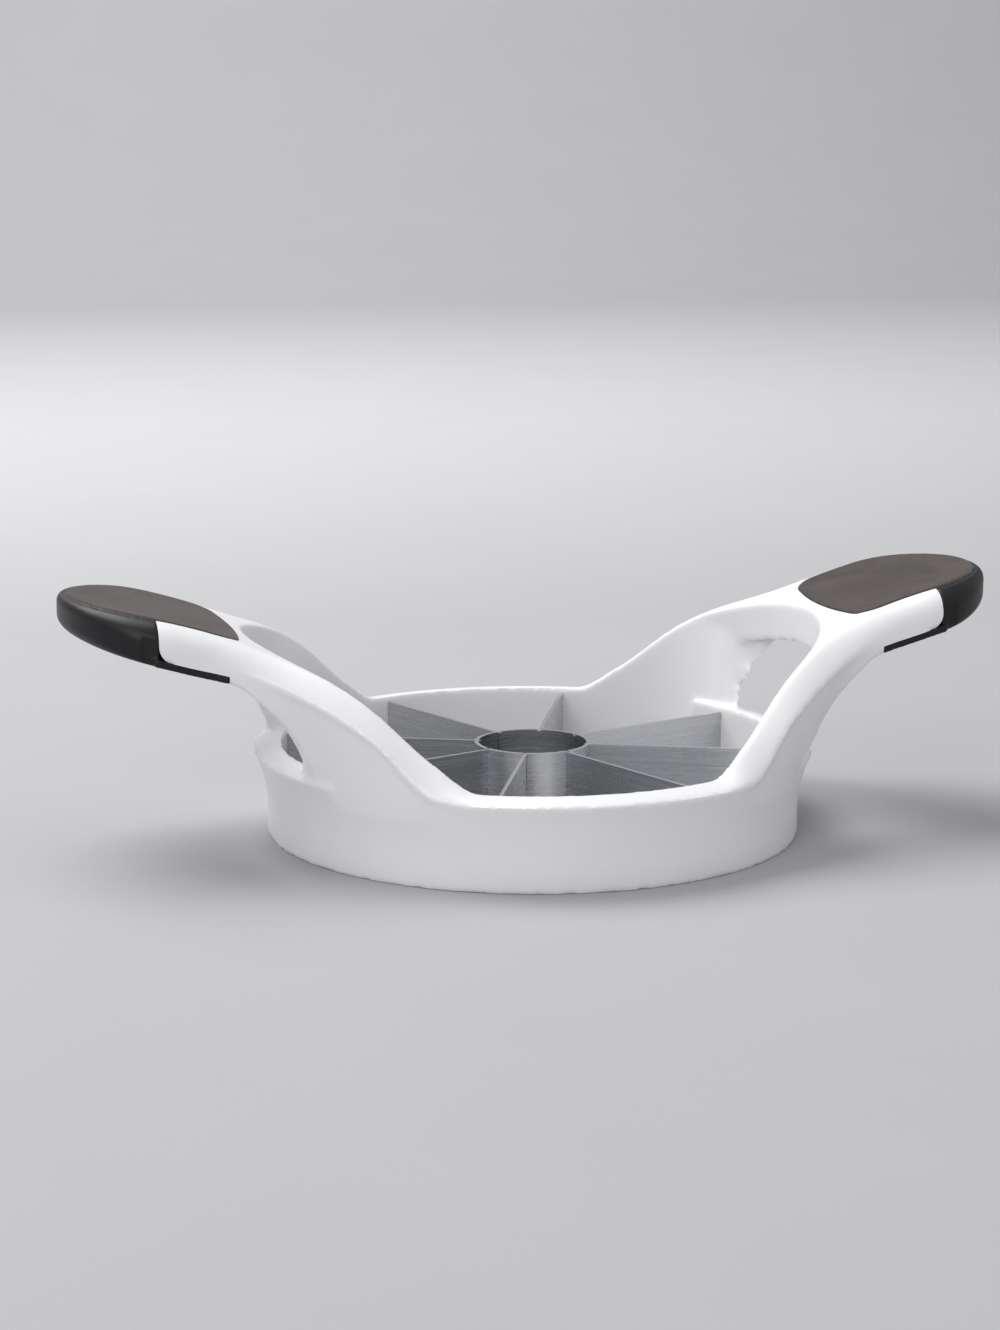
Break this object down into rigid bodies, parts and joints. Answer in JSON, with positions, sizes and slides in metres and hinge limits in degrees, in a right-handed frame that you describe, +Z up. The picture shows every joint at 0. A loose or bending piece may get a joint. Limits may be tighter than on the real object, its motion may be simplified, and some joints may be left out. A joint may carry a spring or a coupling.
{
  "type": "apple slicer",
  "caption": "Push-down apple slicer: white moulded ring with wishbone handles, soft black grips, and steel blades that meet at a slotted core ring.",
  "frame": {"origin": "centre of the ring, on the plane of its lower rim", "axes": "+X along the handles, +Z up from the cutting side to the handles"},
  "size_m": [0.1946, 0.1156, 0.0529],
  "materials": {
    "white_moulding": "semi-gloss injection-moulded white ABS",
    "soft_grip": "fine matt texture on a soft black overmoulding",
    "cutting_steel": "ground stainless strip"
  },
  "bodies": {
    "root": {"frame": "white_moulding", "left_grip": "soft_grip", "right_grip": "soft_grip", "core_ring": "cutting_steel", "blade_1": "cutting_steel", "blade_2": "cutting_steel", "blade_3": "cutting_steel", "blade_4": "cutting_steel", "blade_5": "cutting_steel", "blade_6": "cutting_steel", "blade_7": "cutting_steel", "blade_8": "cutting_steel"}
  },
  "joints": []
}
